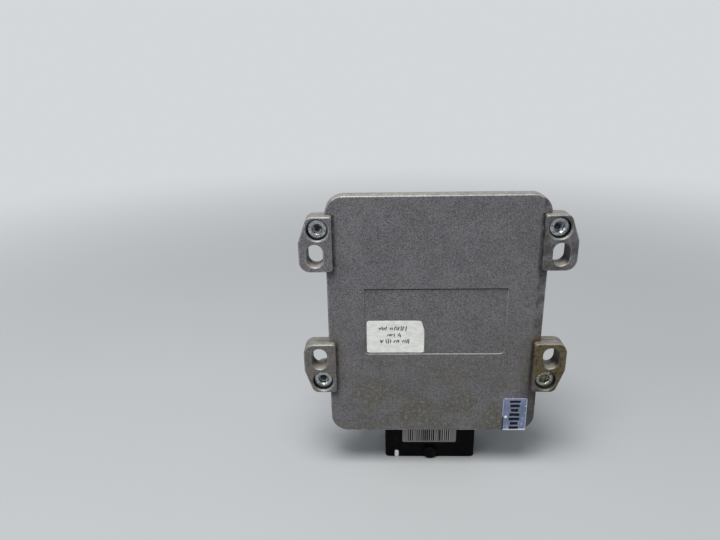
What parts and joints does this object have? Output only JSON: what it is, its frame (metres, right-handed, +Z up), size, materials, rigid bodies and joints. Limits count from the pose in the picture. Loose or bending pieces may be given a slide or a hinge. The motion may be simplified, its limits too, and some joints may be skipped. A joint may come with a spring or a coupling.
{
  "type": "autogas control unit",
  "caption": "Engine control unit for an autogas system: cast case with slotted mounting ears, cooling ribs and a multi-pin plug housing below.",
  "frame": {"origin": "on the plane of the plug housing's rim, midway across the unit and midway through its depth", "axes": "+Z up along the unit's height, -Y towards the mounting side with the screws, +X to the right of that side"},
  "size_m": [0.1188, 0.039, 0.1357],
  "materials": {
    "cast_cover": "cast, shot-blasted, dirty",
    "cast_housing": "cast, shot-blasted, dirty",
    "silicone": "matt",
    "zinc_steel": "zinc plated",
    "black_nylon": "moulded",
    "seal_rubber": "matt",
    "tinned_brass": "tinned",
    "board_laminate": "lacquered glass laminate",
    "chip_resin": "moulded resin",
    "bright_can": "nickel plated",
    "ferrite": "pressed ferrite",
    "aluminium_can": "drawn can",
    "ceramic_block": "fired",
    "pad_silicone": "filled silicone",
    "spring_steel": "rolled strip",
    "white_paper": "matt paper",
    "label_paper": "printed paper",
    "tape_film": "film"
  },
  "bodies": {
    "root": {"base_cover": "cast_cover", "housing": "cast_housing", "cover_gasket": "silicone", "cover_screws": "zinc_steel", "connector_header": "black_nylon", "header_seal": "seal_rubber", "connector_pins": "tinned_brass", "circuit_board": "board_laminate", "board_screws": "zinc_steel", "microcontroller": "chip_resin", "memory_chip": "chip_resin", "line_transceiver": "chip_resin", "quartz_crystal": "bright_can", "voltage_regulator": "chip_resin", "surge_suppressor": "chip_resin", "supply_choke": "ferrite", "storage_capacitors": "aluminium_can", "filter_capacitors": "ceramic_block", "emulation_resistors": "ceramic_block", "injector_drivers": "chip_resin", "thermal_pad": "pad_silicone", "clamp_bar": "spring_steel", "clamp_screws": "zinc_steel", "paper_sticker": "white_paper", "barcode_label": "label_paper", "tape_strip": "tape_film"}
  },
  "joints": []
}
